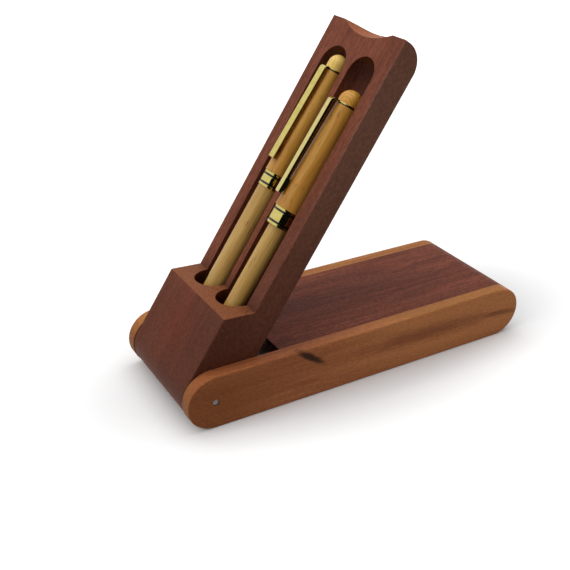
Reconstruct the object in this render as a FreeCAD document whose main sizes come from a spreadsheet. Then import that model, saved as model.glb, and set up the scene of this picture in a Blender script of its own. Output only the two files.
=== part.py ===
import FreeCAD
import Part
import math
import os
import Sketcher

# Flip-up pen case with two pens, in millimetres.
# The origin is the middle of the case's footprint on the table, X runs from the pivot end, Z is up.
# The tray is drawn lying flat with its pivot at the origin, and then raised to its lean angle.
# A pen is drawn with its foot at the origin and its axis along X, the clip side towards Z.

doc = FreeCAD.newDocument("pen_case")
sheet = doc.addObject("Spreadsheet::Sheet", "sizes")


class Size:
    """A length that keeps its value and the sheet formula it comes from."""

    def __init__(self, text, value):
        self.text = text
        self.value = value

    def joined(self, other, sign, value):
        other = as_size(other)
        return Size("(" + self.text + " " + sign + " " + other.text + ")", value)

    def __add__(self, other):
        return self.joined(other, "+", self.value + as_size(other).value)

    def __sub__(self, other):
        return self.joined(other, "-", self.value - as_size(other).value)

    def __mul__(self, other):
        return self.joined(other, "*", self.value * as_size(other).value)

    def __truediv__(self, other):
        return self.joined(other, "/", self.value / as_size(other).value)

    def __neg__(self):
        return Size("(0 - " + self.text + ")", -self.value)


def as_size(thing):
    """Gives a plain number the same form as a sheet size."""
    if isinstance(thing, Size):
        return thing
    return Size(repr(float(thing)), float(thing))


def sine(angle):
    """The sine of an angle in degrees."""
    return Size("sin(" + angle.text + ")", math.sin(math.radians(angle.value)))


def largest(*lengths):
    """The largest of several lengths."""
    texts = [length.text for length in lengths]
    return Size("max(" + "; ".join(texts) + ")", max(length.value for length in lengths))


ZERO = as_size(0)
NEAR = 0.01
next_row = 1


def size(name, value):
    """Writes one driving dimension into the sheet and returns it."""
    global next_row
    sheet.set("A" + str(next_row), name)
    sheet.set("B" + str(next_row), str(value))
    sheet.setAlias("B" + str(next_row), name)
    next_row = next_row + 1
    return Size("sizes." + name, value)


def tied(name, length):
    """Writes a dimension that follows from others into the sheet and returns it."""
    size(name, "=" + length.text.replace("sizes.", ""))
    return Size("sizes." + name, length.value)


# The case.
case_length = size("case_length", 175.0)
case_height = size("case_height", 24.6)
case_width = size("case_width", 61.2)
cheek_thickness = size("cheek_thickness", 5.6)
cheek_ease = size("cheek_ease", 0.7)
panel_thickness = size("panel_thickness", 4.8)

# The pivots, with a tight hole in the cheek and a running hole in the tray.
pin_diameter = size("pin_diameter", 3.0)
pin_sink = size("pin_sink", 0.4)
pin_reach = size("pin_reach", 6.0)
pin_bevel = size("pin_bevel", 0.3)
pin_play = size("pin_play", 0.05)
pin_end_gap = size("pin_end_gap", 0.4)

# The tray, measured from the pivot.
lean_angle = size("lean_angle", 57.8)
tray_side_gap = size("tray_side_gap", 0.35)
tray_recess = size("tray_recess", 0.3)
tray_ease = size("tray_ease", 0.5)
toe_length = size("toe_length", 10.9)
toe_radius = size("toe_radius", 9.5)
ledge_front = size("ledge_front", 31.9)
ledge_slant = size("ledge_slant", 6.8)
stop_gap = size("stop_gap", 0.34)
bore_diameter = size("bore_diameter", 16.0)
bore_pitch = size("bore_pitch", 19.4)
bore_floor = size("bore_floor", 4.0)
pen_headroom = size("pen_headroom", 2.9)
notch_radius = size("notch_radius", 39.0)
notch_depth = size("notch_depth", 4.1)
notch_tilt = size("notch_tilt", 32.0)

# The oval plate on the tray's back.
plate_length = size("plate_length", 90.0)
plate_width = size("plate_width", 38.0)
plate_thickness = size("plate_thickness", 0.8)
plate_bevel = size("plate_bevel", 0.4)

# What both pens share.
seat_gap = size("seat_gap", 0.3)
floor_gap = size("floor_gap", 0.25)
tenon_radius = size("tenon_radius", 2.0)
tenon_length = size("tenon_length", 6.0)
top_ring_thickness = size("top_ring_thickness", 0.4)
washer_thickness = size("washer_thickness", 0.6)
washer_rim = size("washer_rim", 0.1)
clip_width = size("clip_width", 3.7)
clip_thickness = size("clip_thickness", 1.2)
clip_bend = size("clip_bend", 1.8)
clip_bump = size("clip_bump", 8.0)
clip_root = size("clip_root", 0.9)
clip_touch_gap = size("clip_touch_gap", 0.15)
stripe_width = size("stripe_width", 0.8)
stripe_depth = size("stripe_depth", 0.7)
stripe_margin = size("stripe_margin", 1.1)
stripe_sink = size("stripe_sink", 0.06)
inner_gap = size("inner_gap", 0.2)

# The ball pen, with the lengths of its pieces along the axis.
ball_tilt = size("ball_tilt", 0.95)
ball_roll = size("ball_roll", 0.0)
ball_length = size("ball_length", 140.2)
ball_finial_length = size("ball_finial_length", 7.7)
ball_upper_length = size("ball_upper_length", 47.5)
ball_band_length = size("ball_band_length", 6.7)
ball_tip_length = size("ball_tip_length", 11.0)
ball_ledge_at = size("ball_ledge_at", 34.0)
ball_crown_radius = size("ball_crown_radius", 4.4)
ball_waist_radius = size("ball_waist_radius", 5.3)
ball_band_radius = size("ball_band_radius", 5.1)
ball_lower_radius = size("ball_lower_radius", 4.7)
ball_middle_radius = size("ball_middle_radius", 4.5)
ball_neck_radius = size("ball_neck_radius", 3.8)
ball_point_radius = size("ball_point_radius", 1.4)
ball_clip_top_gap = size("ball_clip_top_gap", 1.0)
ball_clip_tip_gap = size("ball_clip_tip_gap", 0.8)
ball_clip_length = size("ball_clip_length", 42.2)
works_radius = size("works_radius", 3.2)
works_sink = size("works_sink", 6.3)
works_room = size("works_room", 14.5)
works_plug = size("works_plug", 14.0)
twist_play = size("twist_play", 0.05)
twist_gap = size("twist_gap", 0.1)
refill_radius = size("refill_radius", 1.5)
refill_shoulder = size("refill_shoulder", 8.0)
refill_stem_radius = size("refill_stem_radius", 0.9)
refill_ball_radius = size("refill_ball_radius", 0.3)
refill_cone = size("refill_cone", 1.8)
refill_sink = size("refill_sink", 1.8)
refill_travel = size("refill_travel", 1.5)

# The fountain pen, with the lengths of its pieces along the axis.
fountain_tilt = size("fountain_tilt", 1.27)
fountain_roll = size("fountain_roll", -15.0)
fountain_length = size("fountain_length", 129.4)
fountain_finial_length = size("fountain_finial_length", 7.3)
cap_length = size("cap_length", 46.5)
fountain_band_length = size("fountain_band_length", 7.9)
fountain_crown_radius = size("fountain_crown_radius", 5.0)
fountain_waist_radius = size("fountain_waist_radius", 6.1)
fountain_band_wall = size("fountain_band_wall", 1.2)
fountain_lower_radius = size("fountain_lower_radius", 4.2)
fountain_foot_radius = size("fountain_foot_radius", 3.7)
fountain_foot_round = size("fountain_foot_round", 2.2)
fountain_clip_top_gap = size("fountain_clip_top_gap", 2.3)
fountain_clip_tip_gap = size("fountain_clip_tip_gap", 1.4)
fountain_clip_length = size("fountain_clip_length", 42.0)
cap_play = size("cap_play", 0.3)
cap_end_wall = size("cap_end_wall", 1.1)
barrel_spigot = size("barrel_spigot", 3.3)
barrel_bore_radius = size("barrel_bore_radius", 3.0)
barrel_bore_floor = size("barrel_bore_floor", 8.0)
section_stub = size("section_stub", 9.0)
section_step = size("section_step", 0.2)
section_top_radius = size("section_top_radius", 3.3)
feed_radius = size("feed_radius", 1.6)
feed_sink = size("feed_sink", 10.0)
feed_reach = size("feed_reach", 16.0)
nib_sink = size("nib_sink", 5.0)
nib_reach = size("nib_reach", 21.0)
nib_clearance = size("nib_clearance", 4.0)
nib_thickness = size("nib_thickness", 0.35)
nib_point = size("nib_point", 0.15)
converter_play = size("converter_play", 0.3)
converter_from = size("converter_from", 14.0)

# The pen slots and the tray's reach follow the longer pen.
slot_end = tied("slot_end", bore_floor + seat_gap + largest(ball_length, fountain_length) + pen_headroom)
tray_reach = tied("tray_reach", slot_end + toe_length)

# Places along the ball pen, measured from its foot.
ball_ring_at = tied("ball_ring_at", ball_length - ball_finial_length)
ball_band_to = tied("ball_band_to", ball_ring_at - ball_upper_length)
ball_band_from = tied("ball_band_from", ball_band_to - ball_band_length)
ball_clip_end = tied("ball_clip_end", ball_ring_at - ball_clip_length)
works_from = tied("works_from", ball_band_from - works_sink)
works_to = tied("works_to", ball_ring_at - tenon_length - works_room)
refill_tail = tied("refill_tail", works_to - works_plug)

# The fountain pen's fits: the barrel and the section go into the cap, the converter into the barrel.
cap_bore_radius = tied("cap_bore_radius", fountain_lower_radius + cap_play)
fountain_band_radius = tied("fountain_band_radius", cap_bore_radius + fountain_band_wall)
section_radius = tied("section_radius", fountain_lower_radius - section_step)
converter_radius = tied("converter_radius", barrel_bore_radius - converter_play)

# Places along the fountain pen, measured from its foot.
fountain_ring_at = tied("fountain_ring_at", fountain_length - fountain_finial_length)
fountain_band_to = tied("fountain_band_to", fountain_ring_at - cap_length)
fountain_band_from = tied("fountain_band_from", fountain_band_to - fountain_band_length)
fountain_clip_end = tied("fountain_clip_end", fountain_ring_at - fountain_clip_length)
barrel_top = tied("barrel_top", fountain_band_from + barrel_spigot)
cap_bore_end = tied("cap_bore_end", fountain_ring_at - tenon_length - cap_end_wall)
nib_end = tied("nib_end", cap_bore_end - nib_clearance)
section_top = tied("section_top", nib_end - nib_reach)
nib_root = tied("nib_root", section_top - nib_sink)
feed_root = tied("feed_root", section_top - feed_sink)
feed_end = tied("feed_end", section_top + feed_reach)
doc.recompute()

# Lengths that follow from the sheet.
end_radius = case_height / 2
tray_half = end_radius - tray_recess
inner_half = case_width / 2 - cheek_thickness
tray_width = (inner_half - tray_side_gap) * 2
pivot_x = -case_length / 2 + end_radius
bore_radius = bore_diameter / 2


class Edge:
    """A rounded step of an outline: its radius, and left for a turn against the clock."""

    def __init__(self, radius, left=True):
        self.radius = radius
        self.left = left


def new_body(name):
    """Starts a sub-part that is named like its file."""
    body = doc.addObject("PartDesign::Body", name)
    body.Label = name
    return body


def plane_of(body, role):
    """Finds one of a body's own origin planes."""
    for feature in body.Origin.OriginFeatures:
        if feature.Role == role:
            return feature
    raise ValueError("no plane " + role)


def new_sketch(body, role, name):
    """Starts a sketch on one of the body's own origin planes."""
    sketch = body.newObject("Sketcher::SketchObject", body.Name + "_" + name)
    sketch.AttachmentSupport = [(plane_of(body, role), "")]
    sketch.MapMode = "FlatFace"
    return sketch


def bind(sketch, kind, place, length, name):
    """Adds one dimension to a sketch and ties it to the sheet."""
    sketch.addConstraint(Sketcher.Constraint(kind, *place, length.value))
    index = sketch.ConstraintCount - 1
    sketch.renameConstraint(index, name)
    sketch.setExpression("Constraints." + name, length.text)


def arc_between(start, end, edge):
    """Draws the shorter arc from start to end with the wanted radius and turn."""
    chord = end - start
    half = chord.Length / 2
    rise = math.sqrt(max(edge.radius.value ** 2 - half ** 2, 0))
    side = FreeCAD.Vector(-chord.y, chord.x, 0).normalize()
    if not edge.left:
        side = side * -1
    centre = start + chord * 0.5 + side * rise
    middle = centre - side * edge.radius.value
    return Part.Arc(start, middle, end)


def outline(sketch, corners):
    """Draws a closed outline: each corner is (x, y) or (x, y, Edge), the edge being the one after it."""
    corners = [(as_size(c[0]), as_size(c[1]), c[2] if len(c) > 2 else None) for c in corners]
    count = len(corners)
    spots = [FreeCAD.Vector(c[0].value, c[1].value, 0) for c in corners]
    first_points = []
    last_points = []
    for i in range(count):
        start = spots[i]
        end = spots[(i + 1) % count]
        edge = corners[i][2]
        if edge is None:
            number = sketch.addGeometry(Part.LineSegment(start, end), False)
            first_points.append((number, 1))
            last_points.append((number, 2))
        else:
            number = sketch.addGeometry(arc_between(start, end, edge), False)
            first_points.append((number, 1 if edge.left else 2))
            last_points.append((number, 2 if edge.left else 1))
    for i in range(count):
        following = first_points[(i + 1) % count]
        sketch.addConstraint(Sketcher.Constraint("Coincident", *last_points[i], *following))
    for i in range(count):
        bind(sketch, "DistanceX", first_points[i], corners[i][0], "across_" + str(i))
        bind(sketch, "DistanceY", first_points[i], corners[i][1], "up_" + str(i))
        if corners[i][2] is not None:
            bind(sketch, "Radius", (first_points[i][0],), corners[i][2].radius, "round_" + str(i))


def circle(sketch, x, y, radius, name):
    """Draws a circle that follows the sheet."""
    centre = FreeCAD.Vector(as_size(x).value, as_size(y).value, 0)
    number = sketch.addGeometry(Part.Circle(centre, FreeCAD.Vector(0, 0, 1), radius.value), False)
    bind(sketch, "DistanceX", (number, 3), as_size(x), name + "_across")
    bind(sketch, "DistanceY", (number, 3), as_size(y), name + "_up")
    bind(sketch, "Radius", (number,), radius, name + "_radius")


def pad(body, sketch, length, name, both_ways=False):
    """Raises a sketch into a solid."""
    feature = body.newObject("PartDesign::Pad", body.Name + "_" + name)
    feature.Profile = sketch
    feature.setExpression("Length", length.text)
    if both_ways:
        feature.SideType = "Symmetric"
    return feature


def pocket_through(body, sketch, name):
    """Cuts a sketch right through the solid, both ways from its plane."""
    feature = body.newObject("PartDesign::Pocket", body.Name + "_" + name)
    feature.Profile = sketch
    feature.Type = "ThroughAll"
    feature.SideType = "Symmetric"
    return feature


def turned(body, corners, name="turning"):
    """Turns an outline of lengths and radii about the X axis."""
    sketch = new_sketch(body, "XY_Plane", name + "_outline")
    outline(sketch, corners)
    feature = body.newObject("PartDesign::Revolution", body.Name + "_" + name)
    feature.Profile = sketch
    feature.ReferenceAxis = (sketch, ["H_Axis"])
    feature.Angle = 360
    return feature


def dressed(body, kind, base, edges, length, name):
    """Eases or bevels the listed edges of the body's last solid."""
    feature = body.newObject("PartDesign::" + kind, body.Name + "_" + name)
    feature.Base = (base, edges)
    feature.setExpression("Radius" if kind == "Fillet" else "Size", length.text)
    return feature


def edges_where(feature, wanted):
    """Names the edges of a solid whose box passes a test."""
    doc.recompute()
    names = []
    for number, edge in enumerate(feature.Shape.Edges, start=1):
        if wanted(edge.BoundBox):
            names.append("Edge" + str(number))
    return names


def placement_text(x, y, z, yaw, pitch, roll):
    """Writes a placement as a sheet formula."""
    spot = "create(<<vector>>; " + x + "; " + y + "; " + z + ")"
    turn = "create(<<rotation>>; " + yaw + "; " + pitch + "; " + roll + ")"
    return "create(<<placement>>; " + spot + "; " + turn + ")"


# The raised tray's own frame, shared by all that rides on it.
RAISED = placement_text(pivot_x.text, "0", end_radius.text, "0", "0 - sizes.lean_angle", "0")


def place(body, text):
    """Ties a sub-part's place to the sheet."""
    body.setExpression("Placement", text)


def build_cheek(name, side):
    """One side wall: full-round ends, a pin hole, and an eased outer edge; side is -1 in front."""
    body = new_body(name)
    sketch = new_sketch(body, "XZ_Plane", "profile")
    left = pivot_x
    right = -pivot_x
    corner = Edge(end_radius)
    outline(sketch, [
        (left, 0),
        (right, 0, corner),
        (right + end_radius, end_radius, corner),
        (right, case_height),
        (left, case_height, corner),
        (left - end_radius, end_radius, corner),
    ])
    circle(sketch, pivot_x, end_radius, pin_diameter / 2, "pin_hole")
    board = pad(body, sketch, cheek_thickness, "board", both_ways=True)
    outer = side * cheek_thickness.value / 2

    def on_outer_rim(box):
        flat = abs(box.YMin - outer) < NEAR and abs(box.YMax - outer) < NEAR
        return flat and abs(box.Center.x - pivot_x.value) > pin_diameter.value

    rim = edges_where(board, on_outer_rim)
    dressed(body, "Fillet", board, rim, cheek_ease, "eased_rim")
    middle = (inner_half + cheek_thickness / 2) * side
    place(body, placement_text("0", middle.text, "0", "0", "0", "0"))
    return body


def build_panel():
    """The fixed top board: its left end is undercut to meet the tray's ledge, its right end rounded."""
    body = new_body("top_panel")
    sketch = new_sketch(body, "XZ_Plane", "profile")
    slope = ledge_slant / tray_half
    top_left = pivot_x + ledge_front + stop_gap - tray_recess * slope
    bottom_left = top_left + panel_thickness * slope
    under = end_radius - panel_thickness
    reach = end_radius.value ** 2 - under.value ** 2
    rounded = Size("sqrt(" + end_radius.text + " ^ 2 - " + under.text + " ^ 2)", math.sqrt(reach))
    outline(sketch, [
        (bottom_left, case_height - panel_thickness),
        (-pivot_x + rounded, case_height - panel_thickness, Edge(end_radius)),
        (-pivot_x, case_height),
        (top_left, case_height),
    ])
    pad(body, sketch, inner_half * 2, "board", both_ways=True)
    return body


def build_pin(name, side):
    """A plain steel pivot pin with bevelled ends, pressed in the cheek and loose in the tray."""
    body = new_body(name)
    radius = pin_diameter / 2
    length = cheek_thickness - pin_sink + tray_side_gap + pin_reach
    turned(body, [
        (0, 0),
        (length, 0),
        (length, radius - pin_bevel),
        (length - pin_bevel, radius),
        (pin_bevel, radius),
        (0, radius - pin_bevel),
    ])
    outer_end = (case_width / 2 - pin_sink) * side
    place(body, placement_text(pivot_x.text, outer_end.text, end_radius.text, str(-90 * side), "0", "0"))
    return body


def build_tray():
    """The swinging tray: a block with two bores that run on as ball-ended slots in a long plate."""
    body = new_body("pen_tray")
    profile = new_sketch(body, "XZ_Plane", "profile")
    back = -tray_half
    heel = Edge(tray_half, left=False)
    toe = Edge(toe_radius, left=False)
    outline(profile, [
        (0, back, heel),
        (back, 0, heel),
        (0, tray_half),
        (ledge_front, tray_half),
        (ledge_front + ledge_slant, 0),
        (tray_reach, 0),
        (tray_reach, back + toe_radius, toe),
        (tray_reach - toe_radius, back),
    ])
    board = pad(body, profile, tray_width, "board", both_ways=True)
    half_width = tray_width.value / 2

    def on_side(box):
        return box.YLength < NEAR and abs(abs(box.YMin) - half_width) < NEAR

    dressed(body, "Fillet", board, edges_where(board, on_side), tray_ease, "eased_sides")
    doc.recompute()
    for side, name in ((1, "back"), (-1, "front")):
        cut_pen_seat(body, side, name)
        cut_pivot_hole(body, side, name)
    cut_finger_notch(body)
    place(body, RAISED)
    return body


def cut_pen_seat(body, side, name):
    """Cuts a flat-bottomed bore that runs on as a half-round slot with a ball end."""
    sketch = new_sketch(body, "XY_Plane", name + "_seat_outline")
    middle = bore_pitch / 2 * side
    far = middle + bore_radius * side
    axis = sketch.addGeometry(Part.LineSegment(
        FreeCAD.Vector(0, middle.value, 0),
        FreeCAD.Vector(tray_reach.value, middle.value, 0)), True)
    outline(sketch, [
        (bore_floor, middle),
        (bore_floor, far),
        (slot_end - bore_radius, far, Edge(bore_radius, left=side < 0)),
        (slot_end, middle),
    ])
    sketch.addConstraint(Sketcher.Constraint("Horizontal", axis))
    bind(sketch, "DistanceY", (axis, 1), middle, "axis_up")
    bind(sketch, "DistanceX", (axis, 1), ZERO, "axis_from")
    bind(sketch, "DistanceX", (axis, 2), tray_reach, "axis_to")
    groove = body.newObject("PartDesign::Groove", body.Name + "_" + name + "_seat")
    groove.Profile = sketch
    groove.ReferenceAxis = (sketch, ["Axis0"])
    groove.Angle = 360
    return groove


def cut_finger_notch(body):
    """Scoops the toe's front edge, on a slant that runs out towards the tray's back."""
    sketch = new_sketch(body, "XY_Plane", "notch_outline")
    deepest = tray_reach - notch_depth
    slanted = placement_text(deepest.text, "0", "0", "0", (-notch_tilt).text, "0")
    sketch.setExpression("AttachmentOffset", slanted)
    circle(sketch, notch_radius, 0, notch_radius, "notch")
    pocket_through(body, sketch, "finger_notch")


def cut_pivot_hole(body, side, name):
    """Drills the blind running hole for one pivot pin by turning its outline about the pivot."""
    sketch = new_sketch(body, "XY_Plane", name + "_pivot_outline")
    open_end = tray_width / 2 * side
    closed_end = open_end - (pin_reach + pin_end_gap) * side
    radius = pin_diameter / 2 + pin_play
    outline(sketch, [
        (0, closed_end),
        (radius, closed_end),
        (radius, open_end),
        (0, open_end),
    ])
    groove = body.newObject("PartDesign::Groove", body.Name + "_" + name + "_pivot")
    groove.Profile = sketch
    groove.ReferenceAxis = (sketch, ["V_Axis"])
    groove.Angle = 360
    return groove


def build_name_plate():
    """The bare oval plate with a bevelled rim, glued to the middle of the tray's back."""
    body = new_body("name_plate")
    sketch = new_sketch(body, "XY_Plane", "oval")
    flat = FreeCAD.Vector(0, 0, 0)
    oval = sketch.addGeometry(Part.Ellipse(flat, plate_length.value / 2, plate_width.value / 2), False)
    sketch.exposeInternalGeometry(oval)
    sketch.addConstraint(Sketcher.Constraint("Coincident", oval, 3, -1, 1))
    sketch.addConstraint(Sketcher.Constraint("Horizontal", oval + 1))
    bind(sketch, "Distance", (oval + 1,), plate_length, "oval_length")
    bind(sketch, "Distance", (oval + 2,), plate_width, "oval_width")
    blank = pad(body, sketch, plate_thickness, "blank")
    top = plate_thickness.value

    def on_face(box):
        return abs(box.ZMin - top) < NEAR and abs(box.ZMax - top) < NEAR

    dressed(body, "Chamfer", blank, edges_where(blank, on_face), plate_bevel, "bevelled_rim")
    spot = -pivot_x
    place(body, RAISED + " * " + placement_text(spot.text, "0", (-tray_half).text, "0", "0", "180"))
    return body


def pen_place(side, tilt, roll, height):
    """A pen's place in the tray: on its bore's centre line, tilted, with its clip rolled about its axis."""
    along = bore_floor + seat_gap
    across = bore_pitch / 2 * side
    return RAISED + " * " + placement_text(along.text, across.text, height.text, "0", tilt.text, roll.text)


def build_finial(name, ring_at, length, radius, spot):
    """A wooden dome whose tenon passes through the clip's washer into the barrel."""
    body = new_body(name)
    seat = ring_at + top_ring_thickness + washer_thickness
    turned(body, [
        (ring_at - tenon_length, 0),
        (length, 0, Edge(radius)),
        (length - radius, radius),
        (seat, radius),
        (seat, tenon_radius),
        (ring_at - tenon_length, tenon_radius),
    ])
    place(body, spot)


def build_top_ring(name, ring_at, radius, spot):
    """The thin dark ring under the clip's washer."""
    body = new_body(name)
    turned(body, [
        (ring_at, tenon_radius),
        (ring_at + top_ring_thickness, tenon_radius),
        (ring_at + top_ring_thickness, radius),
        (ring_at, radius),
    ])
    place(body, spot)


def build_clip(name, ring_at, crown, waist, clip, spot):
    """A washer with a flat strip that bends over it and runs down the barrel to a bump."""
    top_gap, tip_gap, tip = clip
    body = new_body(name)
    low = ring_at + top_ring_thickness
    high = low + washer_thickness
    turned(body, [
        (low, tenon_radius),
        (high, tenon_radius),
        (high, crown + washer_rim),
        (low, crown + washer_rim),
    ], "washer")
    side = new_sketch(body, "XZ_Plane", "strip_outline")
    outer_top = crown + top_gap + clip_thickness
    outer_tip = waist + tip_gap + clip_thickness
    sag = tip_gap - clip_touch_gap
    bump_radius = (clip_bump * clip_bump / 4 + sag * sag) / (sag * 2)
    outline(side, [
        (low, crown - clip_root),
        (high, crown - clip_root),
        (high, outer_top - clip_bend, Edge(clip_bend)),
        (high - clip_bend, outer_top),
        (tip, outer_tip),
        (tip, outer_tip - clip_thickness, Edge(bump_radius)),
        (tip + clip_bump, outer_tip - clip_thickness),
        (low, outer_top - clip_thickness),
    ])
    pad(body, side, clip_width, "strip", both_ways=True)
    place(body, spot)


def build_band(name, start, end, radius, bore, spot):
    """The gold centre band with two grooves for the dark stripes."""
    body = new_body(name)
    low = start + stripe_margin
    high = end - stripe_margin
    floor = radius - stripe_depth
    turned(body, [
        (start, bore),
        (end, bore),
        (end, radius),
        (high, radius),
        (high, floor),
        (high - stripe_width, floor),
        (high - stripe_width, radius),
        (low + stripe_width, radius),
        (low + stripe_width, floor),
        (low, floor),
        (low, radius),
        (start, radius),
    ])
    place(body, spot)


def build_stripe(name, start, radius, spot):
    """One dark ring lying in a groove of the band."""
    body = new_body(name)
    turned(body, [
        (start, radius - stripe_depth),
        (start + stripe_width, radius - stripe_depth),
        (start + stripe_width, radius - stripe_sink),
        (start, radius - stripe_sink),
    ])
    place(body, spot)


def build_trim(pen, ring_at, length, crown, waist, clip, band, bore, spot):
    """Builds the pieces that both pens have: finial, ring, clip, band and its two stripes."""
    start, end, radius = band
    build_finial(pen + "_finial", ring_at, length, crown - washer_rim, spot)
    build_top_ring(pen + "_top_ring", ring_at, crown, spot)
    build_clip(pen + "_clip", ring_at, crown, waist, clip, spot)
    build_band(pen + "_band", start, end, radius, bore, spot)
    build_stripe(pen + "_lower_stripe", start + stripe_margin, radius, spot)
    build_stripe(pen + "_upper_stripe", end - stripe_margin - stripe_width, radius, spot)


def build_ball_pen():
    """The slimmer pen: two barrels on a twist mechanism, with a refill and a metal tip."""
    drop = (ball_ring_at - ball_band_to) * sine(ball_tilt)
    widest = largest(ball_waist_radius, ball_band_radius, ball_crown_radius + drop)
    height = widest - bore_radius + floor_gap
    lift = ball_band_to * sine(ball_tilt)
    spot = pen_place(1, ball_tilt, ball_roll, height + lift)
    clip = (ball_clip_top_gap, ball_clip_tip_gap, ball_clip_end)
    band = (ball_band_from, ball_band_to, ball_band_radius)
    build_trim("ball_pen", ball_ring_at, ball_length, ball_crown_radius, ball_waist_radius,
               clip, band, works_radius, spot)

    upper = new_body("ball_pen_upper_barrel")
    turned(upper, [
        (ball_band_to + twist_gap, works_radius + twist_play),
        (works_to + twist_gap, works_radius + twist_play),
        (works_to + twist_gap, tenon_radius),
        (ball_ring_at, tenon_radius),
        (ball_ring_at, ball_crown_radius),
        (ball_band_to + twist_gap, ball_waist_radius),
    ])
    place(upper, spot)

    channel = refill_radius + inner_gap
    lower = new_body("ball_pen_lower_barrel")
    turned(lower, [
        (ball_tip_length, channel),
        (works_from, channel),
        (works_from, works_radius),
        (ball_band_from, works_radius),
        (ball_band_from, ball_lower_radius),
        (ball_ledge_at, ball_middle_radius),
        (ball_tip_length, ball_neck_radius),
    ])
    place(lower, spot)

    works = new_body("ball_pen_twist_works")
    turned(works, [
        (works_from, channel),
        (refill_tail + inner_gap, channel),
        (refill_tail + inner_gap, 0),
        (works_to, 0),
        (works_to, works_radius),
        (works_from, works_radius),
    ])
    place(works, spot)

    refill = new_body("ball_pen_refill")
    turned(refill, [
        (refill_sink, 0),
        (refill_tail, 0),
        (refill_tail, refill_radius),
        (refill_shoulder, refill_radius),
        (refill_shoulder, refill_stem_radius),
        (refill_sink + refill_cone, refill_stem_radius),
        (refill_sink, refill_ball_radius),
    ])
    place(refill, spot)

    tip = new_body("ball_pen_tip")
    narrow = refill_stem_radius + inner_gap
    step = refill_shoulder - refill_travel - inner_gap
    turned(tip, [
        (0, narrow),
        (step, narrow),
        (step, channel),
        (ball_tip_length, channel),
        (ball_tip_length, ball_neck_radius),
        (0, ball_point_radius),
    ])
    place(tip, spot)


def build_fountain_pen():
    """The thicker pen: a cap over a section with nib and feed, and a barrel with a converter."""
    drop = (fountain_ring_at - fountain_band_to) * sine(fountain_tilt)
    widest = largest(fountain_waist_radius, fountain_band_radius, fountain_crown_radius + drop)
    height = widest - bore_radius + floor_gap
    lift = fountain_band_to * sine(fountain_tilt)
    spot = pen_place(-1, fountain_tilt, fountain_roll, height + lift)
    clip = (fountain_clip_top_gap, fountain_clip_tip_gap, fountain_clip_end)
    band = (fountain_band_from, fountain_band_to, fountain_band_radius)
    build_trim("fountain_pen", fountain_ring_at, fountain_length, fountain_crown_radius,
               fountain_waist_radius, clip, band, cap_bore_radius, spot)

    cap = new_body("fountain_pen_cap")
    turned(cap, [
        (fountain_band_to, cap_bore_radius),
        (cap_bore_end, cap_bore_radius),
        (cap_bore_end, tenon_radius),
        (fountain_ring_at, tenon_radius),
        (fountain_ring_at, fountain_crown_radius),
        (fountain_band_to, fountain_waist_radius),
    ])
    place(cap, spot)

    barrel = new_body("fountain_pen_barrel")
    turned(barrel, [
        (0, 0),
        (barrel_bore_floor, 0),
        (barrel_bore_floor, barrel_bore_radius),
        (barrel_top, barrel_bore_radius),
        (barrel_top, fountain_lower_radius),
        (fountain_band_from, fountain_lower_radius),
        (fountain_foot_round, fountain_foot_radius, Edge(fountain_foot_round)),
        (0, fountain_foot_radius - fountain_foot_round),
    ])
    place(barrel, spot)

    section = new_body("fountain_pen_section")
    turned(section, [
        (barrel_top - section_stub, feed_radius),
        (nib_root, feed_radius),
        (nib_root, feed_radius + nib_thickness),
        (section_top, feed_radius + nib_thickness),
        (section_top, section_top_radius),
        (barrel_top, section_radius),
        (barrel_top, barrel_bore_radius),
        (barrel_top - section_stub, barrel_bore_radius),
    ])
    place(section, spot)

    feed = new_body("fountain_pen_feed")
    turned(feed, [
        (feed_root, 0),
        (feed_end, 0),
        (section_top, feed_radius),
        (feed_root, feed_radius),
    ])
    place(feed, spot)

    nib = new_body("fountain_pen_nib")
    sketch = new_sketch(nib, "XY_Plane", "nib_outline")
    outline(sketch, [
        (nib_root, feed_radius),
        (section_top, feed_radius),
        (nib_end, nib_point),
        (nib_end, nib_point + nib_thickness),
        (section_top, feed_radius + nib_thickness),
        (nib_root, feed_radius + nib_thickness),
    ])
    blade = nib.newObject("PartDesign::Revolution", nib.Name + "_blade")
    blade.Profile = sketch
    blade.ReferenceAxis = (sketch, ["H_Axis"])
    blade.Angle = 180
    place(nib, spot)

    converter = new_body("fountain_pen_converter")
    converter_to = barrel_top - section_stub
    turned(converter, [
        (converter_from, 0),
        (converter_to, 0),
        (converter_to, converter_radius),
        (converter_from, converter_radius),
    ])
    place(converter, spot)


build_cheek("front_cheek", -1)
build_cheek("back_cheek", 1)
build_panel()
build_pin("front_pivot_pin", -1)
build_pin("back_pivot_pin", 1)
build_tray()
build_name_plate()
build_ball_pen()
build_fountain_pen()
doc.recompute()

# Every object must have built, and every sub-part must be one sound solid.
for item in doc.Objects:
    if "Invalid" in item.State or "Error" in item.State:
        raise RuntimeError(item.Name + " failed to build")
os.makedirs("parts", exist_ok=True)
for item in doc.Objects:
    if item.isDerivedFrom("PartDesign::Body"):
        if item.Shape.isNull() or not item.Shape.isValid() or len(item.Shape.Solids) != 1:
            raise RuntimeError(item.Label + " is not one sound solid")
        item.Shape.exportStep("parts/" + item.Label + ".step")
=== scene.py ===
"""Looks of the flip-up pen case: woods, gold trim, rounded small pieces, camera, light and floor."""

import logging
import math
from collections.abc import Sequence
from dataclasses import dataclass
from enum import Enum
from typing import ClassVar

import bpy
from mathutils import Euler, Matrix, Vector

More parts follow.
